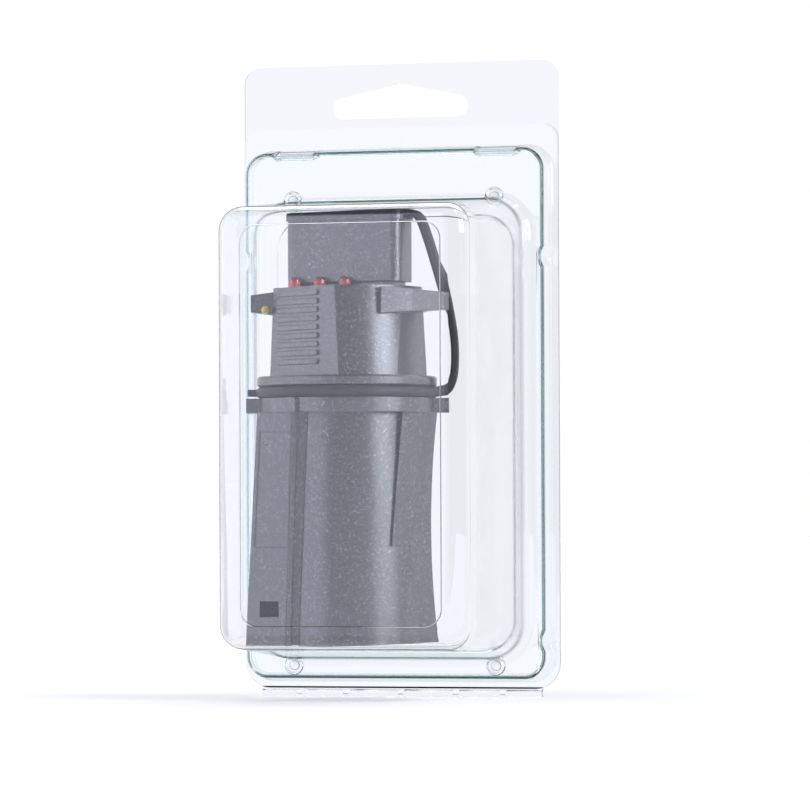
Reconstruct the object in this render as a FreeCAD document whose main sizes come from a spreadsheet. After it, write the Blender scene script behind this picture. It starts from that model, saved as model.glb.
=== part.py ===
import FreeCAD, Part
import math
import os
import re
import Sketcher

# Clear plastic clamshell pack, hung from a rail, with a grey plug adaptor inside.
# Origin: top point of the hang hole, on the rear face of the back sheet.
# X to the right, -Y towards the shopper, Z up, all lengths in millimetres.
# A "drop" is a distance below the origin, a "reach" a distance in front of the rear face.
# A "lean" is how far a moulded wall steps in over its height, so that it leaves the mould.

SIZES = (
    # the clear sheet that both halves are formed from
    ("wall", 0.5),
    ("flange_gap", 0.2),
    ("nest_gap", 0.3),
    ("tab_rise", 5.6),
    ("sheet_corner", 5.0),
    ("foot_corner", 7.5),
    ("front_top_drop", 12.8),
    # hang hole in the back sheet
    ("hole_width", 42.0),
    ("hole_drop", 10.45),
    ("hole_lobe", 3.35),
    # ridge round the edge of the front half
    ("ridge_margin", 1.5),
    ("ridge_top_margin", 6.4),
    ("ridge_foot_margin", 1.95),
    ("ridge_reach", 8.0),
    ("ridge_lean", 1.25),
    ("ridge_corner", 7.5),
    ("ridge_edge", 0.9),
    # deep blister, formed round the adaptor with this much room
    ("side_room", 5.7),
    ("head_room", 3.0),
    ("front_room", 2.2),
    ("back_room", 3.8),
    ("blister_margin", 6.9),
    ("blister_top_margin", 15.5),
    ("blister_foot_margin", 6.45),
    ("blister_lean", 4.3),
    ("blister_corner", 11.0),
    ("blister_edge", 6.0),
    ("blister_foot_edge", 2.2),
    # shallow window panel pressed into the blister's front
    ("panel_inset", 11.5),
    ("panel_top_inset", 9.5),
    ("panel_foot_inset", 10.6),
    ("panel_step", 0.4),
    ("panel_corner", 5.0),
    # press buttons that hold the halves together
    ("button_radius", 2.9),
    ("button_crown", 2.0),
    ("button_rise", 1.5),
    ("button_inset", 17.5),
    ("button_top_margin", 15.4),
    ("button_foot_margin", 4.95),
    ("stud_radius", 1.6),
    ("stud_rise", 0.8),
    # snap dents in the ridge walls
    ("dent_depth", 1.0),
    ("side_dent_length", 6.0),
    ("side_dent_top_margin", 33.0),
    ("side_dent_foot_margin", 12.15),
    ("top_dent_length", 12.0),
    ("top_dent_inset", 17.5),
    # recess in the back half behind the adaptor
    ("recess_margin", 12.5),
    ("recess_top_margin", 20.8),
    ("recess_foot_margin", 9.25),
    ("recess_corner", 9.0),
    ("recess_lean", 1.0),
    # living hinge along the foot
    ("hinge_inset", 5.35),
    ("hinge_height", 2.5),
    ("hinge_bulge", 0.9),
    ("hinge_crease_gap", 0.2),
    ("gusset_width", 2.0),
    ("gusset_rise", 0.7),
    ("gusset_inner_spread", 16.9),
    ("gusset_outer_spread", 31.3),
    # where the adaptor stands in the blister
    ("adaptor_left", 6.9),
    ("adaptor_lift", 4.9),
    ("adaptor_turn", 18.0),
    # lower housing
    ("core_foot_radius", 24.2),
    ("core_top_radius", 22.0),
    ("lower_height", 67.0),
    ("rim_radius", 25.6),
    ("rim_height", 4.2),
    ("tab_reach", 29.0),
    ("tab_width", 8.0),
    ("front_tab_reach", 26.8),
    ("front_tab_width", 3.6),
    ("front_tab_turn", 37.0),
    ("left_tab_turn", 95.0),
    ("right_tab_turn", 88.0),
    ("cheek_top_left", 25.7),
    ("cheek_foot_left", 29.2),
    ("cheek_top_rib", 14.2),
    ("cheek_foot_rib", 16.2),
    ("cheek_face", 17.6),
    ("cheek_fall", 3.8),
    ("cheek_back_step", 2.7),
    ("rib_width", 1.3),
    ("rib_root_width", 1.7),
    ("rib_rise", 1.0),
    ("side_depth", 9.0),
    ("groove_width", 3.4),
    ("groove_foot_width", 2.6),
    ("groove_floor", 15.6),
    ("groove_draft", 0.3),
    ("wing_face_sum", 33.2),
    ("wing_back_step", 1.3),
    ("wing_top_right", 26.0),
    ("wing_waist_right", 24.1),
    ("wing_foot_right", 26.2),
    ("wing_waist_height", 35.0),
    ("wing_crease", 18.0),
    ("gore_top_left", 16.0),
    ("gore_foot_left", 12.8),
    ("gore_foot_height", 28.6),
    ("cheek_panel_foot", 28.3),
    ("cheek_panel_top", 61.3),
    ("cheek_panel_margin", 1.1),
    ("cheek_panel_depth", 0.35),
    ("window_left", 25.1),
    ("window_width", 5.4),
    ("window_height", 4.4),
    ("window_middle", 10.6),
    ("window_floor", 12.0),
    # upper housing
    ("neck_radius", 22.9),
    ("neck_height", 3.3),
    ("collar_radius", 26.0),
    ("collar_height", 3.0),
    ("collar_chamfer", 0.5),
    ("barrel_foot_radius", 23.1),
    ("barrel_top_radius", 21.7),
    ("barrel_height", 25.9),
    ("grip_face", 15.1),
    ("grip_turn", 55.0),
    ("flat_face", 20.6),
    ("flat_turn", 66.0),
    ("bar_left", 13.4),
    ("bar_right", 7.6),
    ("bar_height", 1.45),
    ("bar_corner", 0.45),
    ("bar_rise", 0.5),
    ("bar_pitch", 2.475),
    ("bar_count", 9),
    ("bar_first_height", 4.2),
    ("lug_root_height", 7.6),
    ("lug_tip_height", 4.9),
    ("lug_drop", 0.6),
    ("right_lug_root", 9.9),
    ("right_lug_bend", 18.9),
    ("right_lug_tip", 29.1),
    ("right_lug_bend_face", 18.2),
    ("right_lug_tip_face", 10.4),
    ("right_lug_back_face", 5.0),
    ("lug_overrun", 0.5),
    ("left_lug_root", 18.0),
    ("left_lug_tip", 28.0),
    ("left_lug_thickness", 5.0),
    ("left_lug_back", 6.0),
    # connector block on top, turned square to the pack
    ("block_turn", 20.0),
    ("block_width", 35.0),
    ("block_front", 4.0),
    ("block_back", 9.0),
    ("block_height", 17.8),
    ("block_corner", 2.6),
    ("block_stand", 1.5),
    ("block_inset", 2.0),
    ("lip_height", 1.7),
    ("lip_step", 0.5),
    # rubber dust cap with its strap and ring
    ("cap_height", 1.4),
    ("cap_crown", 1.2),
    ("strap_thickness", 2.5),
    ("strap_width", 5.0),
    ("strap_forward", 2.0),
    ("strap_bend_room", 5.0),
    ("strap_shoulder_inset", 1.5),
    ("strap_shoulder_drop", 13.2),
    ("strap_belly_room", 2.75),
    ("strap_belly_height", 10.4),
    ("strap_foot_room", 1.0),
    ("ring_radius", 24.9),
    ("ring_thickness", 3.2),
    ("ring_tab_reach", 3.9),
    ("ring_tab_width", 4.0),
    ("ring_tab_height", 2.0),
    # indicator lamps
    ("lamp_radius", 1.9),
    ("lamp_height", 3.1),
    ("lamp_shoulder", 1.65),
    ("lamp_crown", 0.95),
    ("lamp_pitch", 7.75),
    ("lamp_first", 13.8),
    ("lamp_gap", 0.3),
    ("lamp_count", 3),
    ("side_lamp_radius", 1.3),
    ("side_lamp_height", 2.2),
    ("side_lamp_shoulder", 1.1),
    ("side_lamp_crown", 0.6),
    ("side_lamp_left", 23.7),
    ("side_lamp_middle", 19.7),
)

vector = FreeCAD.Vector
doc = FreeCAD.newDocument("ClamshellPack")
sheet = doc.addObject("Spreadsheet::Sheet", "Sizes")
sheet.Label = "Sizes"
for row, (name, size) in enumerate(SIZES, start=1):
    sheet.set(f"A{row}", name)
    sheet.set(f"B{row}", str(size))
    sheet.setAlias(f"B{row}", name)
doc.recompute()

size_names = {name for name, size in SIZES}


def bound(text):
    """The expression for a formula written with the plain names of the sizes."""
    return re.sub(r"[a-z_]+", lambda m: "Sizes." + m[0] if m[0] in size_names else m[0], text)


def number(text):
    """The present value of such a formula."""
    return float(sheet.evalExpression(bound(text)))


def bind(item, path, text):
    item.setExpression(path, bound(text))


def new_body(label):
    body = doc.addObject("PartDesign::Body", label)
    body.Label = label
    return body


def new_sketch(body, name, role, across="0", up="0", out="0", turn=None, axis=(0, 0, 1)):
    """A sketch on one of the body's own origin planes, shifted in that plane's own axes."""
    sketch = body.newObject("Sketcher::SketchObject", name)
    plane = [item for item in body.Origin.OriginFeatures if item.Role == role][0]
    sketch.AttachmentSupport = (plane, [""])
    sketch.MapMode = "FlatFace"
    if turn is not None:
        sketch.AttachmentOffset = FreeCAD.Placement(vector(), FreeCAD.Rotation(vector(*axis), 1.0))
        bind(sketch, "AttachmentOffset.Rotation.Angle", turn)
    bind(sketch, "AttachmentOffset.Base.x", across)
    bind(sketch, "AttachmentOffset.Base.y", up)
    bind(sketch, "AttachmentOffset.Base.z", out)
    return sketch


def dimension(sketch, kind, places, text):
    """A driving dimension whose value is bound to the sheet."""
    index = sketch.addConstraint(Sketcher.Constraint(kind, *places, number(text)))
    bind(sketch, f"Constraints[{index}]", text)


def draw_polygon(sketch, points):
    """A closed outline through points given as pairs of formulas."""
    spots = [vector(number(x), number(y), 0) for x, y in points]
    count = len(spots)
    lines = []
    for i in range(count):
        lines.append(sketch.addGeometry(Part.LineSegment(spots[i], spots[(i + 1) % count]), False))
    for i in range(count):
        sketch.addConstraint(Sketcher.Constraint("Coincident", lines[i - 1], 2, lines[i], 1))
    for line, (x, y) in zip(lines, points):
        dimension(sketch, "DistanceX", (-1, 1, line, 1), x)
        dimension(sketch, "DistanceY", (-1, 1, line, 1), y)


def draw_rounded(sketch, left, right, top, foot, top_corner, foot_corner):
    """A rectangle with round corners. Its four sides are distances from the sketch's origin,
    left and right outwards, top and foot upwards."""
    x0, x1, y1, y0 = -number(left), number(right), number(top), number(foot)
    ra, rb = number(top_corner), number(foot_corner)
    turn = math.pi / 2
    normal = vector(0, 0, 1)
    sides = [
        Part.LineSegment(vector(x0 + ra, y1, 0), vector(x1 - ra, y1, 0)),
        Part.LineSegment(vector(x1, y1 - ra, 0), vector(x1, y0 + rb, 0)),
        Part.LineSegment(vector(x1 - rb, y0, 0), vector(x0 + rb, y0, 0)),
        Part.LineSegment(vector(x0, y0 + rb, 0), vector(x0, y1 - ra, 0)),
    ]
    corners = [
        Part.ArcOfCircle(Part.Circle(vector(x1 - ra, y1 - ra, 0), normal, ra), 0, turn),
        Part.ArcOfCircle(Part.Circle(vector(x1 - rb, y0 + rb, 0), normal, rb), -turn, 0),
        Part.ArcOfCircle(Part.Circle(vector(x0 + rb, y0 + rb, 0), normal, rb), 2 * turn, 3 * turn),
        Part.ArcOfCircle(Part.Circle(vector(x0 + ra, y1 - ra, 0), normal, ra), turn, 2 * turn),
    ]
    lines = [sketch.addGeometry(side, False) for side in sides]
    arcs = [sketch.addGeometry(corner, False) for corner in corners]
    for i in range(4):
        sketch.addConstraint(Sketcher.Constraint("Tangent", lines[i], 2, arcs[i], 2))
        sketch.addConstraint(Sketcher.Constraint("Tangent", arcs[i], 1, lines[(i + 1) % 4], 1))
    for i, direction in enumerate(("Horizontal", "Vertical", "Horizontal", "Vertical")):
        sketch.addConstraint(Sketcher.Constraint(direction, lines[i]))
    sketch.addConstraint(Sketcher.Constraint("Equal", arcs[0], arcs[3]))
    sketch.addConstraint(Sketcher.Constraint("Equal", arcs[1], arcs[2]))
    dimension(sketch, "Radius", (arcs[0],), top_corner)
    dimension(sketch, "Radius", (arcs[1],), foot_corner)
    dimension(sketch, "DistanceX", (lines[3], 1, -1, 1), left)
    dimension(sketch, "DistanceX", (-1, 1, lines[1], 2), right)
    dimension(sketch, "DistanceY", (-1, 1, lines[0], 1), top)
    dimension(sketch, "DistanceY", (-1, 1, lines[2], 1), foot)


def draw_circle(sketch, across, up, radius):
    centre = vector(number(across), number(up), 0)
    ring = sketch.addGeometry(Part.Circle(centre, vector(0, 0, 1), number(radius)), False)
    dimension(sketch, "Radius", (ring,), radius)
    dimension(sketch, "DistanceX", (-1, 1, ring, 3), across)
    dimension(sketch, "DistanceY", (-1, 1, ring, 3), up)


def extrude(body, kind, sketch, length, lean=None, backwards=False):
    """A pad or pocket. Its walls step in by the lean over its length."""
    feature = body.newObject("PartDesign::" + kind, sketch.Name + "_" + kind.lower())
    feature.Profile = sketch
    bind(feature, "Length", length)
    if lean is not None:
        bind(feature, "TaperAngle", f"-atan(({lean}) / ({length}))")
    feature.Reversed = backwards
    doc.recompute()
    return feature


def draw_dome(sketch, foot, top, radius, shoulder, crown):
    """Half the outline of a domed post, standing on the sketch's upright axis."""
    draw_polygon(sketch, (
        ("0", foot),
        (radius, foot),
        (radius, f"{top} - {radius}"),
        (shoulder, f"{top} - {crown}"),
        (crown, f"{top} - ({radius} - {shoulder})"),
        ("0", top),
    ))


def revolve(body, sketch):
    feature = body.newObject("PartDesign::Revolution", sketch.Name + "_turned")
    feature.Profile = sketch
    feature.ReferenceAxis = (sketch, ["V_Axis"])
    feature.Angle = 360
    doc.recompute()
    return feature


def loft(body, kind, first, *others):
    feature = body.newObject("PartDesign::" + kind, first.Name + "_loft")
    feature.Profile = first
    feature.Sections = list(others)
    doc.recompute()
    return feature


def round_edges(body, name, radius, chosen):
    """Fillet on the tip's edges for which chosen() is true of their box."""
    tip = body.Tip
    edges = [f"Edge{i}" for i, edge in enumerate(tip.Shape.Edges, start=1) if chosen(edge.BoundBox)]
    feature = body.newObject("PartDesign::Fillet", name)
    feature.Base = (tip, edges)
    bind(feature, "Radius", radius)
    doc.recompute()
    return feature


def bevel_edges(body, name, size, chosen):
    """Chamfer on the tip's edges for which chosen() is true of their box."""
    tip = body.Tip
    edges = [f"Edge{i}" for i, edge in enumerate(tip.Shape.Edges, start=1) if chosen(edge.BoundBox)]
    feature = body.newObject("PartDesign::Chamfer", name)
    feature.Base = (tip, edges)
    bind(feature, "Size", size)
    doc.recompute()
    return feature


def level(box, reach):
    """True of an edge that lies in the plane this far in front of the rear face."""
    return abs(box.YMin + number(reach)) < 0.01 and abs(box.YMax + number(reach)) < 0.01


def within(box, half_width, top_drop, foot_drop):
    """True of an edge inside this upright rectangle, seen from the front."""
    slack = 0.02
    side = number(half_width) + slack
    if max(-box.XMin, box.XMax) > side:
        return False
    return box.ZMax < -number(top_drop) + slack and box.ZMin > -number(foot_drop) - slack


def bool_part(kind, label, base, tool):
    item = doc.addObject("Part::" + kind, label)
    item.Label = label
    item.Base = base
    item.Tool = tool
    doc.recompute()
    return item


def gather(label, items):
    group = doc.addObject("Part::Compound", label)
    group.Label = label
    group.Links = items
    doc.recompute()
    return group


FRONT = "XZ_Plane"
PLAN = "XY_Plane"
SIDE = "YZ_Plane"

# The pack is formed round the adaptor, so its sides, drops and reaches follow the adaptor's.
adaptor_height = ("(lower_height + rim_height + neck_height + collar_height + barrel_height"
                  " + block_stand + block_height + lip_height + cap_height + cap_crown)")
adaptor_reach = "(collar_radius + back_room)"
blister_reach = "(2 * collar_radius + back_room + front_room)"
blister_side = "(adaptor_left + tab_reach + side_room)"
pack_side = f"({blister_side} + blister_margin)"
ridge_side = f"({pack_side} - ridge_margin)"
panel_side = f"({blister_side} - panel_inset)"
recess_side = f"({pack_side} - recess_margin)"
hinge_side = f"({pack_side} - hinge_inset)"
ridge_top = "(front_top_drop + ridge_top_margin)"
blister_top = f"({ridge_top} + blister_top_margin)"
blister_foot = f"({blister_top} + {adaptor_height} + adaptor_lift + head_room)"
ridge_foot = f"({blister_foot} + blister_foot_margin)"
sheet_foot = f"({ridge_foot} + ridge_foot_margin)"
hinge_foot = f"({sheet_foot} + hinge_height)"
button_drops = (f"({ridge_top} + button_top_margin)", f"({ridge_foot} - button_foot_margin)")


# Snap dents: short round hollows pressed inwards into the walls of a ridge.
# They are cones lying along Y, because the wall that they follow leans inwards.
# The chord is the dent's length and the sagitta its depth.
DENTS = (
    ("side_dent_length", ridge_side, f"-({ridge_top} + side_dent_top_margin)", 1, 0),
    ("side_dent_length", ridge_side, f"-({ridge_foot} - side_dent_foot_margin)", 1, 0),
    ("side_dent_length", ridge_side, f"-({ridge_top} + side_dent_top_margin)", -1, 0),
    ("side_dent_length", ridge_side, f"-({ridge_foot} - side_dent_foot_margin)", -1, 0),
    ("top_dent_length", f"({pack_side} - top_dent_inset)", f"-{ridge_top}", 1, 1),
    ("top_dent_length", f"({pack_side} - top_dent_inset)", f"-{ridge_top}", -1, 1),
)


def dents(label, growth, start):
    """The six dents as tools, grown by this much all round, from this reach forwards."""
    cones = []
    for i, (length, across, up, side, on_top) in enumerate(DENTS, start=1):
        curve = f"(({length} / 2) ^ 2 + dent_depth ^ 2) / (2 * dent_depth)"
        outwards = f"{curve} - dent_depth"
        cone = doc.addObject("Part::Cone", f"{label}_{i}")
        bind(cone, "Radius1", f"{curve} + {growth} + ridge_lean * ({start}) / ridge_reach")
        bind(cone, "Radius2", f"{curve} + {growth} + ridge_lean")
        bind(cone, "Height", f"ridge_reach - ({start})")
        cone.Placement = FreeCAD.Placement(vector(), FreeCAD.Rotation(vector(1, 0, 0), 90))
        shift = across if on_top else f"({across}) + ({outwards})"
        bind(cone, "Placement.Base.x", f"{side} * ({shift})")
        bind(cone, "Placement.Base.y", f"-({start})")
        bind(cone, "Placement.Base.z", f"({up}) + ({outwards}) * {on_top}")
        cones.append(cone)
    return gather(label, cones)


def buttons(label, across, crown, rise, base):
    """Four round bosses with leaning walls, standing on a plane at this reach."""
    cones = []
    for i, drop in enumerate(button_drops):
        for j, side in enumerate((-1, 1)):
            cone = doc.addObject("Part::Cone", f"{label}_{2 * i + j + 1}")
            bind(cone, "Radius1", across)
            bind(cone, "Radius2", crown)
            bind(cone, "Height", f"{rise} + wall")
            cone.Placement = FreeCAD.Placement(vector(), FreeCAD.Rotation(vector(1, 0, 0), 90))
            bind(cone, "Placement.Base.x", f"{side} * ({pack_side} - button_inset)")
            bind(cone, "Placement.Base.y", f"wall - ({base})")
            bind(cone, "Placement.Base.z", "-" + drop)
            cones.append(cone)
    return cones


def fuse_all(label, items):
    group = doc.addObject("Part::MultiFuse", label)
    group.Label = label
    group.Shapes = items
    doc.recompute()
    return group


# Front half, outside: the block of space that the half takes up.

front_form = new_body("front_form")
outline = new_sketch(front_form, "front_flange", FRONT, out="wall + flange_gap")
draw_rounded(outline, pack_side, pack_side, "-front_top_drop", "-" + sheet_foot,
             "sheet_corner", "foot_corner")
extrude(front_form, "Pad", outline, "wall")

outline = new_sketch(front_form, "front_ridge", FRONT, out="wall + flange_gap")
draw_rounded(outline, ridge_side, ridge_side, "-" + ridge_top, "-" + ridge_foot,
             "ridge_corner", "ridge_corner")
extrude(front_form, "Pad", outline, "ridge_reach - wall - flange_gap", lean="ridge_lean")
bevel_edges(front_form, "front_ridge_edge", "ridge_edge", lambda box: level(box, "ridge_reach"))

outline = new_sketch(front_form, "front_blister", FRONT, out="ridge_reach - wall")
draw_rounded(outline, blister_side, blister_side, "-" + blister_top, "-" + blister_foot,
             "blister_corner", "blister_corner")
extrude(front_form, "Pad", outline, blister_reach + " - ridge_reach + wall", lean="blister_lean")
round_edges(front_form, "front_blister_edge", "blister_edge",
            lambda box: level(box, blister_reach))
bevel_edges(front_form, "front_blister_foot", "blister_foot_edge",
            lambda box: level(box, "ridge_reach") and within(
                box, blister_side, blister_top, blister_foot))

panel_top = f"-({blister_top} + panel_top_inset)"
panel_foot = f"-({blister_foot} - panel_foot_inset)"
outline = new_sketch(front_form, "front_panel", FRONT, out=blister_reach)
draw_rounded(outline, panel_side, panel_side, panel_top, panel_foot,
             "panel_corner", "panel_corner")
extrude(front_form, "Pocket", outline, "panel_step")

# Front half, inside: the same space drawn in by the thickness of the sheet.

front_hollow = new_body("front_hollow")
outline = new_sketch(front_hollow, "hollow_ridge", FRONT, out="wall + flange_gap")
draw_rounded(outline, ridge_side + " - wall", ridge_side + " - wall", f"-{ridge_top} - wall",
             f"-{ridge_foot} + wall", "ridge_corner - wall", "ridge_corner - wall")
extrude(front_hollow, "Pad", outline, "ridge_reach - 2 * wall - flange_gap", lean="ridge_lean")
bevel_edges(front_hollow, "hollow_ridge_edge", "ridge_edge - wall / 2",
            lambda box: level(box, "ridge_reach - wall"))

outline = new_sketch(front_hollow, "hollow_blister", FRONT, out="ridge_reach - 2 * wall")
draw_rounded(outline, blister_side + " - wall", blister_side + " - wall",
             f"-{blister_top} - wall", f"-{blister_foot} + wall",
             "blister_corner - wall", "blister_corner - wall")
extrude(front_hollow, "Pad", outline, blister_reach + " - ridge_reach + wall", lean="blister_lean")
round_edges(front_hollow, "hollow_blister_edge", "blister_edge - wall",
            lambda box: level(box, blister_reach + " - wall"))
bevel_edges(front_hollow, "hollow_blister_foot", "blister_foot_edge + wall / 2",
            lambda box: level(box, "ridge_reach - wall") and within(
                box, blister_side, blister_top, blister_foot))

outline = new_sketch(front_hollow, "hollow_panel", FRONT, out=blister_reach + " - wall")
draw_rounded(outline, panel_side + " + wall", panel_side + " + wall", panel_top + " + wall",
             panel_foot + " - wall", "panel_corner + wall", "panel_corner + wall")
extrude(front_hollow, "Pocket", outline, "panel_step")

# The strip that joins the halves: a shallow trough on the front half, with five gussets.

front_lip = new_body("front_lip")
lip_back = "-(wall + flange_gap)"
lip_front = "-(2 * wall + flange_gap)"
lip_points = (
    (lip_back, "-" + sheet_foot + " + wall"),
    (lip_front, "-" + sheet_foot + " + wall"),
    (lip_front, "-" + sheet_foot + " - wall / 2"),
    (lip_front + " - hinge_bulge", "-" + sheet_foot + " - wall * 2"),
    (lip_front + " - hinge_bulge", "-" + hinge_foot + " + wall * 2"),
    (lip_front + " - wall / 2", "-" + hinge_foot + " + hinge_crease_gap"),
    (lip_back, "-" + hinge_foot + " + hinge_crease_gap"),
    (lip_back, "-" + hinge_foot + " + hinge_crease_gap + wall / 2"),
    (lip_back + " - hinge_bulge", f"-({sheet_foot} + {hinge_foot}) / 2"),
    (lip_back, "-" + sheet_foot + " - wall"),
)
outline = new_sketch(front_lip, "lip_section", SIDE, out="-" + hinge_side)
draw_polygon(outline, lip_points)
extrude(front_lip, "Pad", outline, "2 * " + hinge_side)

gusset_front = lip_front + " - hinge_bulge - gusset_rise"
gusset_points = (
    (lip_front, "-" + sheet_foot + " + wall"),
    (gusset_front, "-" + sheet_foot + " - wall * 2"),
    (gusset_front, "-" + hinge_foot + " + wall * 2"),
    (lip_front + " - wall / 2", "-" + hinge_foot + " + hinge_crease_gap"),
    (lip_front + " - hinge_bulge + wall / 2", "-" + hinge_foot + " + wall * 2"),
    (lip_front + " - hinge_bulge + wall / 2", "-" + sheet_foot + " - wall * 2"),
)
GUSSETS = ("-gusset_outer_spread", "-gusset_inner_spread", "0", "gusset_inner_spread",
           "gusset_outer_spread")
for i, middle in enumerate(GUSSETS, start=1):
    outline = new_sketch(front_lip, f"gusset_{i}", SIDE, out=f"{middle} - gusset_width / 2")
    draw_polygon(outline, gusset_points)
    extrude(front_lip, "Pad", outline, "gusset_width")

# The front half itself.

front_buttoned = fuse_all("front_buttoned", [front_form] + buttons(
    "button", "button_radius", "button_crown", "button_rise", "ridge_reach"))
hollow_buttoned = fuse_all("hollow_buttoned", [front_hollow] + buttons(
    "button_hollow", "button_radius - wall", "button_crown - wall", "button_rise",
    "ridge_reach - wall"))
front_outside = bool_part("Cut", "front_outside", front_buttoned, dents(
    "front_dents", "0", "2 * wall + flange_gap"))
front_inside = bool_part("Cut", "front_inside", hollow_buttoned, dents(
    "hollow_dents", "wall", "0"))
front_formed = bool_part("Cut", "front_formed", front_outside, front_inside)
front_shell = bool_part("Fuse", "front_shell", front_formed, front_lip)

# Back half: flat sheet with the hang hole, and a hollow ring that plugs into the front's ridge.

back_form = new_body("back_form")
outline = new_sketch(back_form, "back_sheet", FRONT)
draw_rounded(outline, pack_side, pack_side, "tab_rise", "-" + sheet_foot,
             "sheet_corner", "foot_corner")
extrude(back_form, "Pad", outline, "wall")

outline = new_sketch(back_form, "back_lip", FRONT)
draw_polygon(outline, (
    ("-" + hinge_side, "-" + hinge_foot + " + hinge_crease_gap"),
    (hinge_side, "-" + hinge_foot + " + hinge_crease_gap"),
    (hinge_side, "-" + sheet_foot + " + wall"),
    ("-" + hinge_side, "-" + sheet_foot + " + wall"),
))
extrude(back_form, "Pad", outline, "wall")

plug_side = ridge_side + " - wall - nest_gap"
plug_crest = "ridge_reach - wall - nest_gap"
outline = new_sketch(back_form, "back_plug", FRONT)
draw_rounded(outline, plug_side, plug_side, f"-{ridge_top} - wall - nest_gap",
             f"-{ridge_foot} + wall + nest_gap", "ridge_corner - wall - nest_gap",
             "ridge_corner - wall - nest_gap")
extrude(back_form, "Pad", outline, plug_crest, lean="ridge_lean")
bevel_edges(back_form, "back_plug_edge", "ridge_edge - wall / 2",
            lambda box: level(box, plug_crest))

outline = new_sketch(back_form, "back_recess", FRONT, out=plug_crest)
recess_top = f"-({ridge_top} + recess_top_margin)"
recess_foot = f"-({ridge_foot} - recess_foot_margin)"
draw_rounded(outline, recess_side, recess_side, recess_top, recess_foot,
             "recess_corner", "recess_corner")
extrude(back_form, "Pocket", outline, plug_crest + " - wall", lean="recess_lean")

back_hollow = new_body("back_hollow")
inner_side = plug_side + " - wall"
outline = new_sketch(back_hollow, "hollow_plug", FRONT)
draw_rounded(outline, inner_side, inner_side, f"-{ridge_top} - 2 * wall - nest_gap",
             f"-{ridge_foot} + 2 * wall + nest_gap", "ridge_corner - 2 * wall - nest_gap",
             "ridge_corner - 2 * wall - nest_gap")
extrude(back_hollow, "Pad", outline, plug_crest + " - wall", lean="ridge_lean")

outline = new_sketch(back_hollow, "hollow_recess", FRONT, out=plug_crest + " - wall")
draw_rounded(outline, recess_side + " + wall", recess_side + " + wall",
             recess_top + " + wall", recess_foot + " - wall",
             "recess_corner + wall", "recess_corner + wall")
extrude(back_hollow, "Pocket", outline, plug_crest + " - wall", lean="recess_lean")

back_studded = fuse_all("back_studded", [back_form] + buttons(
    "stud", "stud_radius", "stud_radius - stud_rise / 2", "stud_rise", plug_crest))
back_outside = bool_part("Cut", "back_outside", back_studded, dents(
    "plug_dents", "wall + nest_gap", "wall"))
back_inside = bool_part("Cut", "back_inside", back_hollow, dents(
    "plug_hollow_dents", "2 * wall + nest_gap", "0"))
back_formed = bool_part("Cut", "back_formed", back_outside, back_inside)

# Hang hole: two round ends joined by a straight foot and a low gable.

hang_hole = new_body("hang_hole")
hole_end = "hole_width / 2 - hole_lobe"
outline = new_sketch(hang_hole, "hole_gable", FRONT, out="-wall")
slope = "atan(hole_drop / (hole_width / 2)) / 2"
draw_polygon(outline, (
    ("0", "0"),
    (f"-({hole_end}) - hole_lobe * sin({slope})", f"-hole_drop + hole_lobe * (1 + cos({slope}))"),
    (f"-({hole_end})", "-hole_drop"),
    (f"{hole_end}", "-hole_drop"),
    (f"{hole_end} + hole_lobe * sin({slope})", f"-hole_drop + hole_lobe * (1 + cos({slope}))"),
))
extrude(hang_hole, "Pad", outline, "3 * wall")
outline = new_sketch(hang_hole, "hole_ends", FRONT, out="-wall")
draw_circle(outline, f"-({hole_end})", "-hole_drop + hole_lobe", "hole_lobe")
draw_circle(outline, f"{hole_end}", "-hole_drop + hole_lobe", "hole_lobe")
extrude(hang_hole, "Pad", outline, "3 * wall")
back_shell = bool_part("Cut", "back_shell", back_formed, hang_hole)


# The adaptor. Each piece is drawn on the adaptor's own axis, from its underside up, with
# its marked side towards -Y, and is then stood in the blister and turned.


def stand_in_pack(piece):
    piece.Placement = FreeCAD.Placement(vector(), FreeCAD.Rotation(vector(0, 0, 1), 1.0))
    bind(piece, "Placement.Base.x", "-adaptor_left")
    bind(piece, "Placement.Base.y", "-" + adaptor_reach)
    bind(piece, "Placement.Base.z", "adaptor_lift - " + blister_foot)
    bind(piece, "Placement.Rotation.Angle", "adaptor_turn")


rim_foot = "lower_height"
neck_foot = rim_foot + " + rim_height"
collar_foot = neck_foot + " + neck_height"
barrel_foot = collar_foot + " + collar_height"
barrel_top = barrel_foot + " + barrel_height"
block_foot = barrel_top + " + block_stand"
lip_foot = block_foot + " + block_height"
cap_foot = lip_foot + " + lip_height"

# Lower housing: a conical core, a flat cheek with a rib on the left, and a wing on the right
# that stands clear of the core at the top, under a rim with three tabs.

lower_housing = new_body("lower_housing")
outline = new_sketch(lower_housing, "core", FRONT)
draw_polygon(outline, (
    ("0", "0"),
    ("core_foot_radius", "0"),
    ("core_top_radius", rim_foot),
    ("rim_radius", rim_foot),
    ("rim_radius", neck_foot),
    ("0", neck_foot),
))
revolve(lower_housing, outline)


def cheek_plan(name, height, left, rib):
    plan = new_sketch(lower_housing, name, PLAN, out=height)
    draw_polygon(plan, (
        (f"-{rib}", "-cheek_face - rib_rise"),
        (f"-{rib} - rib_width", "-cheek_face - rib_rise"),
        (f"-{rib} - rib_root_width", "-cheek_face"),
        (f"-{left}", "-cheek_face + cheek_fall"),
        (f"-{left} + cheek_back_step", "side_depth"),
        ("-side_depth", "side_depth"),
        ("-side_depth", "-cheek_face + cheek_fall"),
    ))
    return plan


cheek_foot = cheek_plan("cheek_foot", "0", "cheek_foot_left", "cheek_foot_rib")
cheek_top = cheek_plan("cheek_top", rim_foot, "cheek_top_left", "cheek_top_rib")
loft(lower_housing, "AdditiveLoft", cheek_foot, cheek_top)


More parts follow.
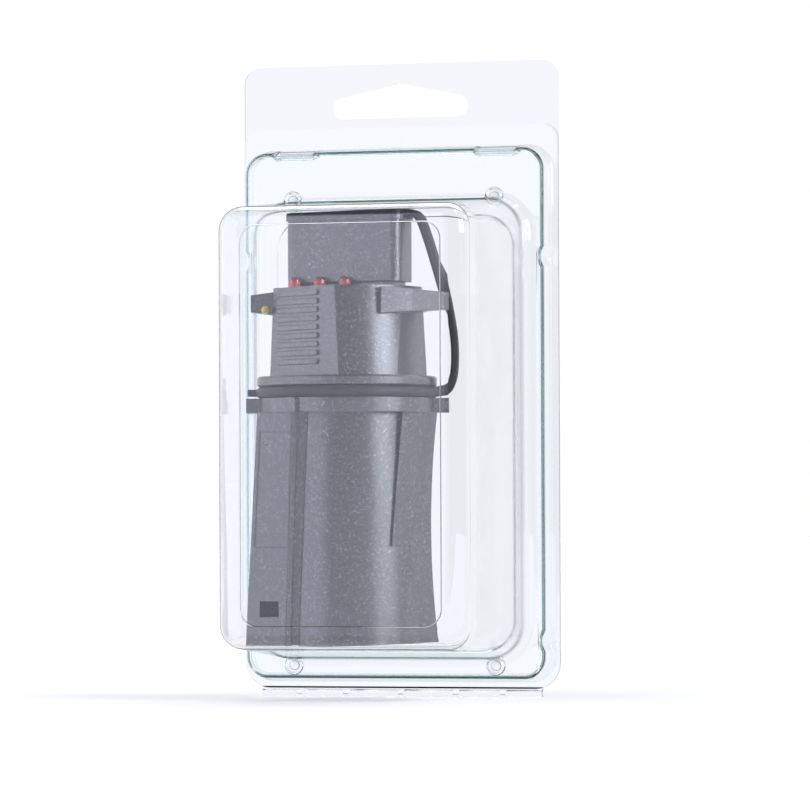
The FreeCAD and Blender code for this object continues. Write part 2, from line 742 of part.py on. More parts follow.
def wing_plan(name, height, right):
    plan = new_sketch(lower_housing, name, PLAN, out=height)
    draw_polygon(plan, (
        ("wing_crease", "wing_crease - wing_face_sum"),
        (right, f"{right} - wing_face_sum"),
        (f"{right} - wing_back_step", "side_depth"),
        ("side_depth", "side_depth"),
        ("side_depth", "-side_depth"),
    ))
    return plan


wing_foot = wing_plan("wing_foot", "0", "wing_foot_right")
wing_waist = wing_plan("wing_waist", "wing_waist_height", "wing_waist_right")
wing_top = wing_plan("wing_top", rim_foot, "wing_top_right")
loft(lower_housing, "AdditiveLoft", wing_foot, wing_waist, wing_top)


def gore_plan(name, height, left):
    plan = new_sketch(lower_housing, name, PLAN, out=height)
    draw_polygon(plan, (
        (left, f"{left} - wing_face_sum"),
        ("wing_crease", "wing_crease - wing_face_sum"),
        ("wing_crease", "-side_depth"),
        (left, "-side_depth"),
    ))
    return plan


gore_foot = gore_plan("gore_foot", "gore_foot_height", "gore_foot_left")
gore_top = gore_plan("gore_top", rim_foot, "gore_top_left")
loft(lower_housing, "AdditiveLoft", gore_foot, gore_top)


def groove_plan(name, height, rib, width):
    plan = new_sketch(lower_housing, name, PLAN, out=height)
    draw_polygon(plan, (
        (f"-{rib}", "-rim_radius"),
        (f"-{rib} + {width}", "-rim_radius"),
        (f"-{rib} + {width} - groove_draft", "-groove_floor"),
        (f"-{rib}", "-groove_floor"),
    ))
    return plan


groove_foot = groove_plan("groove_foot", "0", "cheek_foot_rib", "groove_foot_width")
groove_top = groove_plan("groove_top", rim_foot, "cheek_top_rib", "groove_width")
loft(lower_housing, "SubtractiveLoft", groove_foot, groove_top)

TABS = (
    ("front_tab", "-90 - front_tab_turn", "front_tab_reach", "front_tab_width"),
    ("left_tab", "-90 - left_tab_turn", "tab_reach", "tab_width"),
    ("right_tab", "-90 + right_tab_turn", "tab_reach", "tab_width"),
)
for name, turn, reach, width in TABS:
    outline = new_sketch(lower_housing, name, PLAN, out=rim_foot, turn=turn)
    draw_polygon(outline, (
        ("core_top_radius", f"-{width} / 2"),
        (reach, f"-{width} / 2"),
        (reach, f"{width} / 2"),
        ("core_top_radius", f"{width} / 2"),
    ))
    extrude(lower_housing, "Pad", outline, "rim_height")

def cheek_panel_plan(name, height):
    plan = new_sketch(lower_housing, name, PLAN, out=height)
    rise = f"({height} / lower_height)"
    left = f"(cheek_foot_left + (cheek_top_left - cheek_foot_left) * {rise})"
    right = f"(cheek_foot_rib + (cheek_top_rib - cheek_foot_rib) * {rise} + rib_root_width)"
    slope = f"(cheek_fall / ({left} - {right}))"
    outer = f"({left} - cheek_panel_margin)"
    draw_polygon(plan, (
        (f"-{right}", "-cheek_face + cheek_panel_depth"),
        (f"-{right}", "-cheek_face - cheek_panel_depth"),
        (f"-{outer}", f"-cheek_face - cheek_panel_depth + {slope} * ({outer} - {right})"),
        (f"-{outer}", f"-cheek_face + cheek_panel_depth + {slope} * ({outer} - {right})"),
    ))
    return plan


panel_plan_foot = cheek_panel_plan("cheek_panel_foot_plan", "cheek_panel_foot")
panel_plan_top = cheek_panel_plan("cheek_panel_top_plan", "cheek_panel_top")
loft(lower_housing, "SubtractiveLoft", panel_plan_foot, panel_plan_top)

outline = new_sketch(lower_housing, "window", FRONT, out="cheek_face")
draw_polygon(outline, (
    ("-window_left", "window_middle - window_height / 2"),
    ("-window_left + window_width", "window_middle - window_height / 2"),
    ("-window_left + window_width", "window_middle + window_height / 2"),
    ("-window_left", "window_middle + window_height / 2"),
))
extrude(lower_housing, "Pocket", outline, "cheek_face - window_floor")
stand_in_pack(lower_housing)

# Upper housing: neck, collar and barrel turned in one, with two flats, a grip and two lugs.

upper_housing = new_body("upper_housing")
outline = new_sketch(upper_housing, "barrel", FRONT)
draw_polygon(outline, (
    ("0", neck_foot),
    ("neck_radius", neck_foot),
    ("neck_radius", collar_foot),
    ("collar_radius - collar_chamfer", collar_foot),
    ("collar_radius", collar_foot + " + collar_chamfer"),
    ("collar_radius", barrel_foot + " - collar_chamfer"),
    ("collar_radius - collar_chamfer", barrel_foot),
    ("barrel_foot_radius", barrel_foot),
    ("barrel_top_radius", barrel_top),
    ("0", barrel_top),
))
revolve(upper_housing, outline)

FLATS = (("grip_flat", "-90 - grip_turn", "grip_face"), ("right_flat", "-90 + flat_turn", "flat_face"))
for name, turn, face in FLATS:
    outline = new_sketch(upper_housing, name, PLAN, out=barrel_top, turn=turn)
    draw_polygon(outline, (
        (face, "-collar_radius"),
        ("2 * collar_radius", "-collar_radius"),
        ("2 * collar_radius", "collar_radius"),
        (face, "collar_radius"),
    ))
    extrude(upper_housing, "Pocket", outline, "barrel_height")

bar = new_sketch(upper_housing, "grip_bar", FRONT, turn="-grip_turn", axis=(0, 1, 0),
                 across="-grip_face * sin(grip_turn)", up=barrel_foot + " + bar_first_height",
                 out="grip_face * cos(grip_turn)")
draw_polygon(bar, (
    ("-bar_left + bar_corner", "bar_height / 2"),
    ("bar_right - bar_corner", "bar_height / 2"),
    ("bar_right", "bar_height / 2 - bar_corner"),
    ("bar_right", "-bar_height / 2 + bar_corner"),
    ("bar_right - bar_corner", "-bar_height / 2"),
    ("-bar_left + bar_corner", "-bar_height / 2"),
    ("-bar_left", "-bar_height / 2 + bar_corner"),
    ("-bar_left", "bar_height / 2 - bar_corner"),
))
bar_pad = extrude(upper_housing, "Pad", bar, "bar_rise")
bars = upper_housing.newObject("PartDesign::LinearPattern", "grip_bars")
bars.Originals = [bar_pad]
bars.Direction = (bar, ["V_Axis"])
bind(bars, "Length", "bar_pitch * (bar_count - 1)")
bind(bars, "Occurrences", "bar_count")
upper_housing.Tip = bars
doc.recompute()

lug_top = barrel_top + " - lug_drop"
lug_middle = lug_top + " - lug_root_height / 2"
outline = new_sketch(upper_housing, "right_lug", FRONT)
draw_polygon(outline, (
    ("right_lug_root", lug_top),
    ("right_lug_tip", lug_middle + " + lug_tip_height / 2"),
    ("right_lug_tip", lug_middle + " - lug_tip_height / 2"),
    ("right_lug_root", lug_middle + " - lug_root_height / 2"),
))
extrude(upper_housing, "Pad", outline, "barrel_top_radius")
outline = new_sketch(upper_housing, "right_lug_trim", PLAN, out=lug_top)
draw_polygon(outline, (
    ("right_lug_root", "-barrel_top_radius"),
    ("right_lug_bend", "-right_lug_bend_face"),
    ("right_lug_tip", "-right_lug_tip_face"),
    ("right_lug_tip + lug_overrun", "-right_lug_tip_face"),
    ("right_lug_tip + lug_overrun", "-barrel_top_radius - lug_overrun"),
    ("right_lug_root", "-barrel_top_radius - lug_overrun"),
))
extrude(upper_housing, "Pocket", outline, "lug_root_height")
outline = new_sketch(upper_housing, "right_lug_back", PLAN, out=lug_top)
draw_polygon(outline, (
    ("barrel_foot_radius", "lug_overrun"),
    ("right_lug_tip + lug_overrun", "lug_overrun"),
    ("right_lug_tip + lug_overrun", "-right_lug_back_face"),
    ("barrel_foot_radius", "-right_lug_back_face"),
))
extrude(upper_housing, "Pocket", outline, "lug_root_height")

outline = new_sketch(upper_housing, "left_lug", FRONT, out="-left_lug_back")
draw_polygon(outline, (
    ("-left_lug_root", lug_top),
    ("-left_lug_tip", lug_middle + " + lug_tip_height / 2"),
    ("-left_lug_tip", lug_middle + " - lug_tip_height / 2"),
    ("-left_lug_root", lug_middle + " - lug_root_height / 2"),
))
extrude(upper_housing, "Pad", outline, "left_lug_thickness", backwards=True)

stand_turn = "-block_turn"
outline = new_sketch(upper_housing, "block_seat", PLAN, out=barrel_top, turn=stand_turn)
draw_polygon(outline, (
    ("-block_width / 2 + block_inset", "-block_front + block_inset"),
    ("block_width / 2 - block_inset", "-block_front + block_inset"),
    ("block_width / 2 - block_inset", "block_back - block_inset"),
    ("-block_width / 2 + block_inset", "block_back - block_inset"),
))
extrude(upper_housing, "Pad", outline, "block_stand")
stand_in_pack(upper_housing)

# Connector block with a stepped lip.

connector_block = new_body("connector_block")


def block_plan(body, name, height, growth):
    plan = new_sketch(body, name, PLAN, out=height, turn=stand_turn)
    draw_rounded(plan, "block_width / 2 + " + growth, "block_width / 2 + " + growth,
                 "block_back + " + growth, "-block_front - " + growth,
                 "block_corner + " + growth, "block_corner + " + growth)
    return plan


outline = block_plan(connector_block, "block", block_foot, "0")
extrude(connector_block, "Pad", outline, "block_height")
outline = block_plan(connector_block, "lip", lip_foot, "lip_step")
extrude(connector_block, "Pad", outline, "lip_height")
stand_in_pack(connector_block)

# Rubber dust cap: a wedge on the block, a strap down the right side and a ring in the neck.

rubber_cap = new_body("rubber_cap")
outline = block_plan(rubber_cap, "cap", cap_foot, "lip_step")
extrude(rubber_cap, "Pad", outline, "cap_height")
outline = new_sketch(rubber_cap, "crown", FRONT, turn=stand_turn, axis=(0, 1, 0),
                     out="block_front")
draw_polygon(outline, (
    ("-block_width / 2", cap_foot + " + cap_height / 2"),
    ("block_width / 2", cap_foot + " + cap_height / 2"),
    ("block_width / 2", cap_foot + " + cap_height + cap_crown"),
    ("-block_width / 2", cap_foot + " + cap_height"),
))
extrude(rubber_cap, "Pad", outline, "block_front + block_back", backwards=True)

rubber_ring = new_body("rubber_ring")
outline = new_sketch(rubber_ring, "ring", FRONT)
ring_middle = neck_foot + " + neck_height / 2"
ring_half = "ring_thickness / 2"
ring_bevel = "ring_thickness / 5"
draw_polygon(outline, (
    (f"ring_radius - {ring_bevel}", f"{ring_middle} - {ring_half}"),
    (f"ring_radius + {ring_bevel}", f"{ring_middle} - {ring_half}"),
    (f"ring_radius + {ring_half}", f"{ring_middle} - {ring_bevel}"),
    (f"ring_radius + {ring_half}", f"{ring_middle} + {ring_bevel}"),
    (f"ring_radius + {ring_bevel}", f"{ring_middle} + {ring_half}"),
    (f"ring_radius - {ring_bevel}", f"{ring_middle} + {ring_half}"),
    (f"ring_radius - {ring_half}", f"{ring_middle} + {ring_bevel}"),
    (f"ring_radius - {ring_half}", f"{ring_middle} - {ring_bevel}"),
))
revolve(rubber_ring, outline)

ring_tab = doc.addObject("Part::Box", "ring_tab")
bind(ring_tab, "Length", "ring_tab_reach")
bind(ring_tab, "Width", "ring_tab_width")
bind(ring_tab, "Height", "ring_tab_height")
bind(ring_tab, "Placement.Base.x", "-ring_radius - ring_tab_reach")
bind(ring_tab, "Placement.Base.y", "-ring_tab_width / 2")
bind(ring_tab, "Placement.Base.z", ring_middle + " - ring_tab_height / 2")

# Where the strap would run if it were bent sharply, as reach to the right and height.
STRAP_ROUTE = (
    ("block_width / 2 - strap_thickness", cap_foot + " + strap_thickness / 2"),
    ("block_width / 2 + strap_bend_room", cap_foot + " + strap_thickness / 2"),
    ("tab_reach - strap_shoulder_inset", lip_foot + " - strap_shoulder_drop"),
    ("tab_reach + strap_belly_room", barrel_foot + " + strap_belly_height"),
    ("tab_reach + strap_foot_room", collar_foot + " + collar_height / 3"),
    ("ring_radius + ring_thickness / 4", neck_foot + " + neck_height / 2"),
)
BEND_SHARE = 0.45


def rounded_route(points, depth):
    """Straight runs joined by tangent arcs, each taking this share of its shorter run."""
    spots = [vector(number(x), depth, number(z)) for x, z in points]
    edges = []
    start = spots[0]
    for before, corner, after in zip(spots, spots[1:], spots[2:]):
        back = (before - corner).normalize()
        ahead = (after - corner).normalize()
        run = BEND_SHARE * min(before.distanceToPoint(corner), after.distanceToPoint(corner))
        bisector = (back + ahead).normalize()
        half = back.getAngle(bisector)
        centre = corner + bisector * (run / math.cos(half))
        middle = centre - bisector * (run * math.tan(half))
        edges.append(Part.LineSegment(start, corner + back * run).toShape())
        edges.append(Part.Arc(corner + back * run, middle, corner + ahead * run).toShape())
        start = corner + ahead * run
    edges.append(Part.LineSegment(start, spots[-1]).toShape())
    return Part.Wire(edges)


strap_route = rounded_route(STRAP_ROUTE, -number("strap_forward"))
half_thick, half_wide = number("strap_thickness / 2"), number("strap_width / 2")
strap_start = strap_route.Vertexes[0].Point
strap_section = Part.makePolygon([
    strap_start + vector(0, y * half_wide, z * half_thick)
    for y, z in ((-1, -1), (1, -1), (1, 1), (-1, 1), (-1, -1))
])
strap = doc.addObject("Part::Feature", "strap")
strap.Shape = strap_route.makePipeShell([strap_section], True, False)
dust_cap = fuse_all("dust_cap", [rubber_cap, strap, rubber_ring, ring_tab])
stand_in_pack(dust_cap)

# Indicator lamps: three red domes along the block's foot and a yellow one on the left lug.

lamps = []
lamp_row = "(block_front + lamp_gap + lamp_radius)"
for i in range(int(number("lamp_count"))):
    lamp = new_body(f"red_lamp_{i + 1}")
    along = f"(lamp_first - {i} * lamp_pitch)"
    outline = new_sketch(
        lamp, "lens", FRONT,
        across=f"-{along} * cos(block_turn) - {lamp_row} * sin(block_turn)",
        out=f"{lamp_row} * cos(block_turn) - {along} * sin(block_turn)")
    draw_dome(outline, barrel_top, barrel_top + " + lamp_height", "lamp_radius",
              "lamp_shoulder", "lamp_crown")
    revolve(lamp, outline)
    stand_in_pack(lamp)
    lamps.append(lamp)

side_lamp = new_body("yellow_lamp")
outline = new_sketch(side_lamp, "lens", PLAN, across="-side_lamp_left",
                     out=barrel_foot + " + side_lamp_middle", turn="180")
draw_dome(outline, "-left_lug_back", "side_lamp_height - left_lug_back", "side_lamp_radius",
          "side_lamp_shoulder", "side_lamp_crown")
revolve(side_lamp, outline)
stand_in_pack(side_lamp)

doc.recompute()

PIECES = [back_shell, front_shell, lower_housing, upper_housing, connector_block, dust_cap,
          *lamps, side_lamp]

for item in doc.Objects:
    if "Invalid" in item.State or "Error" in item.State:
        raise RuntimeError(f"{item.Label} did not rebuild: {item.State}")

os.makedirs("parts", exist_ok=True)
for piece in PIECES:
    shape = piece.Shape
    if shape.isNull() or not shape.isValid():
        raise RuntimeError(f"{piece.Label} has no valid shape")
    shape.exportStep(f"parts/{piece.Label}.step")
    box = shape.BoundBox
    print(f"{piece.Label}: {len(shape.Solids)} solid, {shape.Volume:.0f} mm3, "
          f"{box.XLength:.1f} x {box.YLength:.1f} x {box.ZLength:.1f} mm")
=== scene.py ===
import math

import bmesh
import bpy
from mathutils import Matrix, Vector


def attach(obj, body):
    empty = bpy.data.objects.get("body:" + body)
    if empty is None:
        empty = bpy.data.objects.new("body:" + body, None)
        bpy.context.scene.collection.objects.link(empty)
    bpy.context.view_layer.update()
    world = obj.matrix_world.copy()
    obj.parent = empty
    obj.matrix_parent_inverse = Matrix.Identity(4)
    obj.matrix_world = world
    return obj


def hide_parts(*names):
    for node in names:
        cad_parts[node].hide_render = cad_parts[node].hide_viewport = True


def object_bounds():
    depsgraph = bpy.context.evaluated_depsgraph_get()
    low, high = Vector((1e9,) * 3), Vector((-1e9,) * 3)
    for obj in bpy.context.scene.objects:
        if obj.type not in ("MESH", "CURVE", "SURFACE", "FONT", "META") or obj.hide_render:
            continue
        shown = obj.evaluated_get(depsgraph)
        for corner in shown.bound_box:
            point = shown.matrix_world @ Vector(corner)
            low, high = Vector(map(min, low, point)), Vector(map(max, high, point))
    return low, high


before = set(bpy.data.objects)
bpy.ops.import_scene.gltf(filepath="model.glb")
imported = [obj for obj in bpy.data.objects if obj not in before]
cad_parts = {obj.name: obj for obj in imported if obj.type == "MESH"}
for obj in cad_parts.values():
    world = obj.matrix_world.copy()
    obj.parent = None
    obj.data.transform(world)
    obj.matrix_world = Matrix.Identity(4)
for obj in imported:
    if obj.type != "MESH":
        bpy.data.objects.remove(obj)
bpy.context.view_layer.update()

# Back half of the pack: clear plastic sheet, half a millimetre thick, sucked down hot over a
# mould. It is a flat sheet with a die-cut hang hole, and a hollow ring stands up from it that
# plugs into the front half, with a wide recess inside the ring.

MM = 0.001
SHEET = 0.5
CORNER_STEPS = 12

# each outline is half width, top, foot, top corner radius and foot corner radius
BACK_RIM = (48.5, 5.6, -178.0, 5.0, 7.5)
PLUG = (46.2, -20.0, -175.25, 6.7, 6.7)
PLUG_CREST = 7.2
PLUG_LEAN = 1.25
RECESS = (36.0, -40.0, -166.8, 9.0, 9.0)
RECESS_LEAN = 1.0

# snap dents in the standing walls: half length, place across, place up
DENT_DEPTH = 1.0
SIDE_DENTS = ((3.0, -52.2), (3.0, -163.9))
TOP_NOTCHES = ((6.5, -31.0), (6.5, 31.0))
NOTCH_DEPTH = 0.9
NOTCH_FADE = 0.6
# where the standing walls are: this far across at the sides, and this high at the top
SIDE_WALLS_FROM = 40
TOP_WALL = (-26.0, -19.5)

HOLE_HALF_WIDTH = 21.0
HOLE_DROP = 10.45
HOLE_LOBE = 3.35

SHEET_CLEAR = (0.994, 0.997, 1.0, 1)
SHEET_SHADE = (0.94, 0.95, 0.965, 1)
BACK_INDEX = 1.3
SHEET_WAVES = 0.025
EDGE_TINT = (0.50, 0.62, 0.63, 1)
# places in metres between which the deep side walls set in, and between which they end
WALL_START = (-0.0115, -0.0150)
WALL_END = (-0.0500, -0.0465)

BACK_STUD = (1.6, 0.8)
# straight runs of the plug ring at its top and sides, and the height where the side run starts
TOP_RUN = 79.0
SIDE_RUN = 141.85
SIDE_RUN_TOP = -26.7


def spaced(length, marks, spread):
    """Shares of a straight run: every 3 mm, and every 0.4 mm near the marks."""
    places = [3.0 * i for i in range(1, int(length / 3.0))]
    for mark in marks:
        places = [place for place in places if abs(place - mark) > spread]
        steps = int(spread / 0.4)
        places += [mark + spread * i / steps for i in range(-steps, steps + 1)]
    return [place / length for place in sorted(places) if 0.2 < place < length - 0.2]


top_shares = spaced(TOP_RUN, [TOP_RUN / 2 + place for half, place in TOP_NOTCHES], 7.0)
side_shares = spaced(SIDE_RUN, [SIDE_RUN_TOP - place for half, place in SIDE_DENTS], 3.6)
foot_shares = spaced(TOP_RUN, [], 0)


def dent_in(x, z):
    """How far a standing wall is pressed in at this place, as a shift across and up."""
    for half, middle in SIDE_DENTS:
        curve = (half * half + DENT_DEPTH * DENT_DEPTH) / (2 * DENT_DEPTH)
        if abs(z - middle) < half and abs(x) > SIDE_WALLS_FROM:
            depth = math.sqrt(curve * curve - (z - middle) ** 2) - curve + DENT_DEPTH
            return -math.copysign(depth, x), 0.0
    for half, middle in TOP_NOTCHES:
        if abs(x - middle) < half and TOP_WALL[0] < z < TOP_WALL[1]:
            return 0.0, -NOTCH_DEPTH * min(1.0, (half - abs(x - middle)) / NOTCH_FADE)
    return 0.0, 0.0


def turn_round(outline, inset, reach, dented=0.0):
    """One turn round an outline that is drawn in by the inset, at this reach in front."""
    side, top, foot, top_corner, foot_corner = outline
    side, top, foot = side - inset, top - inset, foot + inset
    top_corner = max(top_corner - inset, 0.15)
    foot_corner = max(foot_corner - inset, 0.15)
    arcs = []
    for x, z, radius, start in (
            (side - top_corner, top - top_corner, top_corner, 90),
            (side - foot_corner, foot + foot_corner, foot_corner, 0),
            (foot_corner - side, foot + foot_corner, foot_corner, -90),
            (top_corner - side, top - top_corner, top_corner, 180)):
        angles = [math.radians(start - 90 * i / CORNER_STEPS) for i in range(CORNER_STEPS + 1)]
        arcs.append([(x + radius * math.cos(a), z + radius * math.sin(a)) for a in angles])
    places = []
    back_shares = [1 - share for share in reversed(side_shares)]
    for i, shares in enumerate((top_shares, side_shares, foot_shares, back_shares)):
        (x0, z0), (x1, z1) = arcs[i - 1][-1], arcs[i][0]
        places += [(x0 + (x1 - x0) * share, z0 + (z1 - z0) * share) for share in shares]
        places += arcs[i]
    if dented:
        places = [(x + dented * dent_in(x, z)[0], z + dented * dent_in(x, z)[1])
                  for x, z in places]
    return [Vector((x * MM, -reach * MM, z * MM)) for x, z in places]


def bent(points, radii):
    """A folded line with its folds rounded, and a point close beside each round."""
    points = [Vector(point) for point in points]
    line = [points[0]]
    for before, fold, after, radius in zip(points, points[1:], points[2:], radii):
        back = (before - fold).normalized()
        ahead = (after - fold).normalized()
        half = back.angle(ahead) / 2
        run = radius / math.tan(half)
        middle = fold + (back + ahead).normalized() * (radius / math.sin(half))
        first = fold + back * run - middle
        turned = -first.angle_signed(fold + ahead * run - middle)
        steps = max(3, int(abs(turned) / math.radians(11)) + 1)
        beside = min(0.2, run * 0.4)
        line.append(fold + back * (run + beside))
        for i in range(steps + 1):
            line.append(middle + first.normalized() @ Matrix.Rotation(-turned * i / steps, 2)
                        * radius)
        line.append(fold + ahead * (run + beside))
    line.append(points[-1])
    return line


def formed(outline, line, wall=None):
    """The turns that carry a folded line of insets and reaches round an outline. The dents
    are full in the standing wall, up to this inset, and fade out across the crest."""
    turns = []
    for i, (inset, reach) in enumerate(line):
        dented = 0.0
        if wall is not None and i > 0:
            dented = max(0.0, min(1.0, 1 - (inset - wall) / 1.6))
        turns.append(turn_round(outline, inset, reach, dented))
    return turns


def add_turn(mesh, places):
    return [mesh.verts.new(place) for place in places]


def join_turns(mesh, first, second):
    for i in range(len(first)):
        mesh.faces.new((first[i - 1], first[i], second[i], second[i - 1]))


def add_skin(mesh, turns):
    rows = [add_turn(mesh, turn) for turn in turns]
    for first, second in zip(rows, rows[1:]):
        join_turns(mesh, first, second)
    return rows


def fill_between(mesh, *rows):
    """Flat sheet between one outer turn and the turns inside it."""
    edges = []
    for row in rows:
        for i in range(len(row)):
            edge = mesh.edges.get((row[i - 1], row[i])) or mesh.edges.new((row[i - 1], row[i]))
            edges.append(edge)
    bmesh.ops.triangle_fill(mesh, use_beauty=True, use_dissolve=False, edges=edges)


def finish_piece(mesh, name, material, body, second=None, is_second=None):
    """Make the mesh a piece on this body. The faces that is_second picks, by their place and
    facing, wear the second material."""
    bmesh.ops.recalc_face_normals(mesh, faces=mesh.faces)
    for face in mesh.faces:
        face.smooth = True
        if second is not None and is_second(face.calc_center_median() / MM, face.normal):
            face.material_index = 1
    data = bpy.data.meshes.new(name)
    mesh.to_mesh(data)
    mesh.free()
    data.set_sharp_from_angle(angle=math.radians(42))
    piece = bpy.data.objects.new(name, data)
    bpy.context.scene.collection.objects.link(piece)
    data.materials.append(material)
    if second is not None:
        data.materials.append(second)
    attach(piece, body)
    return piece


def new_material(name):
    material = bpy.data.materials.new(name)
    material.use_nodes = True
    material.node_tree.nodes.clear()
    return material, material.node_tree


def add_node(tree, kind, **inputs):
    node = tree.nodes.new("ShaderNode" + kind)
    for name, value in inputs.items():
        socket = node.inputs[name.replace("_", " ")]
        if isinstance(value, bpy.types.NodeSocket):
            tree.links.new(value, socket)
        else:
            socket.default_value = value
    return node


def put_on(tree, shader):
    out = add_node(tree, "OutputMaterial")
    tree.links.new(shader.outputs[0], out.inputs["Surface"])


def blend_colours(tree, share, first, second):
    mix = tree.nodes.new("ShaderNodeMix")
    mix.data_type = "RGBA"
    tree.links.new(share, mix.inputs["Factor"])
    for name, colour in (("A", first), ("B", second)):
        socket = [item for item in mix.inputs if item.name == name and item.type == "RGBA"][0]
        if isinstance(colour, bpy.types.NodeSocket):
            tree.links.new(colour, socket)
        else:
            socket.default_value = colour
    return [item for item in mix.outputs if item.type == "RGBA"][0]


def ramp(tree, value, low, high, foot, top):
    node = add_node(tree, "MapRange", Value=value)
    for name, number in (("From Min", low), ("From Max", high), ("To Min", foot), ("To Max", top)):
        node.inputs[name].default_value = number
    return node.outputs[0]


def combine(tree, operation, first, second):
    node = add_node(tree, "Math")
    node.operation = operation
    tree.links.new(first, node.inputs[0])
    tree.links.new(second, node.inputs[1])
    return node.outputs[0]


def mix_shaders(tree, share, first, second):
    node = add_node(tree, "MixShader", Fac=share)
    tree.links.new(first.outputs[0], node.inputs[1])
    tree.links.new(second.outputs[0], node.inputs[2])
    return node


def clear_sheet_material(name, index, colour):
    """Clear plastic with the slow waves that hot forming leaves, and a green-grey tint where
    it is seen edge on. The deep side walls are drawn thinnest, so they mirror least. Shadows
    pass through the sheet."""
    material, tree = new_material(name)
    place = add_node(tree, "TexCoord")
    drawn = add_node(tree, "Mapping", Vector=place.outputs["Object"])
    drawn.inputs["Scale"].default_value = (1.0, 1.0, 0.25)
    waves = add_node(tree, "TexNoise", Scale=70.0, Detail=1.0, Vector=drawn.outputs[0])
    relief = add_node(tree, "Bump", Strength=SHEET_WAVES, Distance=0.002,
                      Height=waves.outputs["Fac"])
    tilt = add_node(tree, "LayerWeight", Blend=0.5)
    edge_on = ramp(tree, tilt.outputs["Facing"], 0.82, 1.0, 0.0, 1.0)
    tint = blend_colours(tree, edge_on, colour, EDGE_TINT)
    clear = add_node(tree, "BsdfGlass", Color=tint, Roughness=0.0, IOR=index,
                     Normal=relief.outputs[0])
    plain = add_node(tree, "BsdfTransparent", Color=SHEET_CLEAR)
    parts = add_node(tree, "SeparateXYZ", Vector=place.outputs["Object"])
    deep = combine(tree, "MULTIPLY", ramp(tree, parts.outputs["Y"], *WALL_START, 0.0, 1.0),
                   ramp(tree, parts.outputs["Y"], *WALL_END, 0.0, 1.0))
    slanting = ramp(tree, tilt.outputs["Facing"], 0.45, 0.70, 0.0, 0.8)
    formed_sheet = mix_shaders(tree, combine(tree, "MULTIPLY", deep, slanting), clear, plain)
    bare = add_node(tree, "BsdfTransparent", Color=SHEET_SHADE)
    path = add_node(tree, "LightPath")
    put_on(tree, mix_shaders(tree, path.outputs["Is Shadow Ray"], formed_sheet, bare))
    return material


back_sheet = clear_sheet_material("clear_back_sheet", BACK_INDEX, SHEET_CLEAR)


def hole_turn(reach):
    end = HOLE_HALF_WIDTH - HOLE_LOBE
    slope = math.atan(HOLE_DROP / HOLE_HALF_WIDTH) / 2
    start, stop = math.pi / 2 - slope, -math.pi / 2
    lobe = [start + (stop - start) * i / 24 for i in range(25)]
    right = [(end + HOLE_LOBE * math.cos(a), HOLE_LOBE - HOLE_DROP + HOLE_LOBE * math.sin(a))
             for a in lobe]
    left = [(-x, z) for x, z in reversed(right)]
    apex = [(-0.8, -0.22), (0.0, -0.1), (0.8, -0.22)]
    return [Vector((x * MM, -reach * MM, z * MM)) for x, z in apex + right + left]


STUD_PLACES = ((-31.0, -34.6), (31.0, -34.6), (-31.0, -171.1), (31.0, -171.1))


def add_studs(mesh, radius, rise, crest):
    """Hollow press studs: small round domes, a sheet thick, on the crest of a half."""
    for x, z in STUD_PLACES:
        rows = []
        outside = [(radius, 0.0), (radius - 0.1, rise * 0.3), (radius * 0.86, rise * 0.62),
                   (radius * 0.66, rise * 0.85), (radius * 0.4, rise * 0.97), (0.05, rise)]
        line = outside + [(across * 0.84, max(0.0, up - 0.4)) for across, up in outside[::-1]]
        for across, up in line:
            turn = [math.tau * i / 48 for i in range(48)]
            rows.append(add_turn(mesh, [
                Vector(((x + across * math.cos(a)) * MM, -(crest + up) * MM,
                        (z + across * math.sin(a)) * MM)) for a in turn]))
        for first, second in zip(rows, rows[1:] + rows[:1]):
            join_turns(mesh, first, second)


mesh = bmesh.new()
rim = formed(BACK_RIM, bent([(0.4, 0.0), (0.0, 0.0), (0.0, SHEET), (0.4, SHEET)], [0.12, 0.12]))
rim_rows = add_skin(mesh, rim)
front_face = bent([(-0.6, SHEET), (0.09, SHEET), (PLUG_LEAN, PLUG_CREST), (3.0, PLUG_CREST)],
                  [0.4, 0.9])
recess_face = bent([(-1.6, PLUG_CREST), (0.0, PLUG_CREST), (RECESS_LEAN, SHEET), (2.2, SHEET)],
                   [1.0, 1.0])
front_rows = add_skin(mesh, formed(PLUG, front_face, PLUG_LEAN) + formed(RECESS, recess_face))
mesh.faces.new(front_rows[-1])
rear_face = bent([(-0.5, 0.0), (0.5, 0.0), (PLUG_LEAN + SHEET, PLUG_CREST - SHEET),
                  (3.0, PLUG_CREST - SHEET)], [0.9, 0.4])
rear_recess = bent([(-1.6, PLUG_CREST - SHEET), (-SHEET, PLUG_CREST - SHEET),
                    (RECESS_LEAN - SHEET, 0.0), (2.2, 0.0)], [0.5, 1.5])
rear_rows = add_skin(mesh, formed(PLUG, rear_face, PLUG_LEAN + SHEET) + formed(RECESS, rear_recess))
mesh.faces.new(rear_rows[-1])
hole_front, hole_rear = add_turn(mesh, hole_turn(SHEET)), add_turn(mesh, hole_turn(0.0))
join_turns(mesh, hole_front, hole_rear)
fill_between(mesh, rim_rows[-1], front_rows[0], hole_front)
fill_between(mesh, rim_rows[0], rear_rows[0], hole_rear)
add_studs(mesh, *BACK_STUD, PLUG_CREST)
back_half = finish_piece(mesh, "back_half", back_sheet, "back")
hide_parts("back_shell")

# Front half of the pack: the same clear sheet, formed over a deeper mould. A flange and a low
# ridge run round it, the deep blister stands inside the ridge, and a shallow panel is pressed
# into the blister's front, where the paper card or the goods show.

